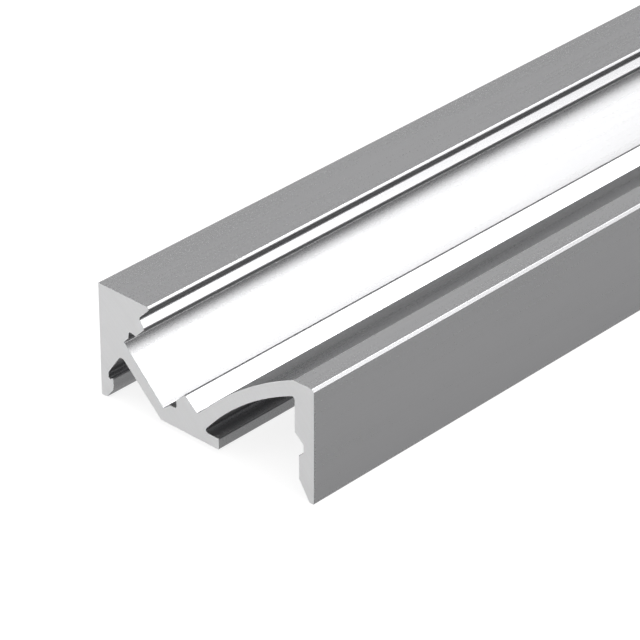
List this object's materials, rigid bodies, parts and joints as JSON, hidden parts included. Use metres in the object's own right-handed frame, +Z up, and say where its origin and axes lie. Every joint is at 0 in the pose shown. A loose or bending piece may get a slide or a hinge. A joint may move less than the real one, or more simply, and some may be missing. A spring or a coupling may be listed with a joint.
{
  "type": "led strip profile",
  "caption": "Extruded aluminium profile with a slanted seat for an LED strip, snap pockets, an arched reflector wing, a clip groove in its thick skirt and a flat base foot.",
  "frame": {"origin": "centre of the footprint at floor level, half way along the bar", "axes": "+Y along the bar, away from the end face seen in the picture; +Z up; +X from the block with the seat towards the skirt"},
  "size_m": [0.04, 1, 0.0178],
  "materials": {
    "anodised_aluminium": "satin silver anodising, end faces sawn"
  },
  "bodies": {
    "root": {"profile": "anodised_aluminium"}
  },
  "joints": []
}
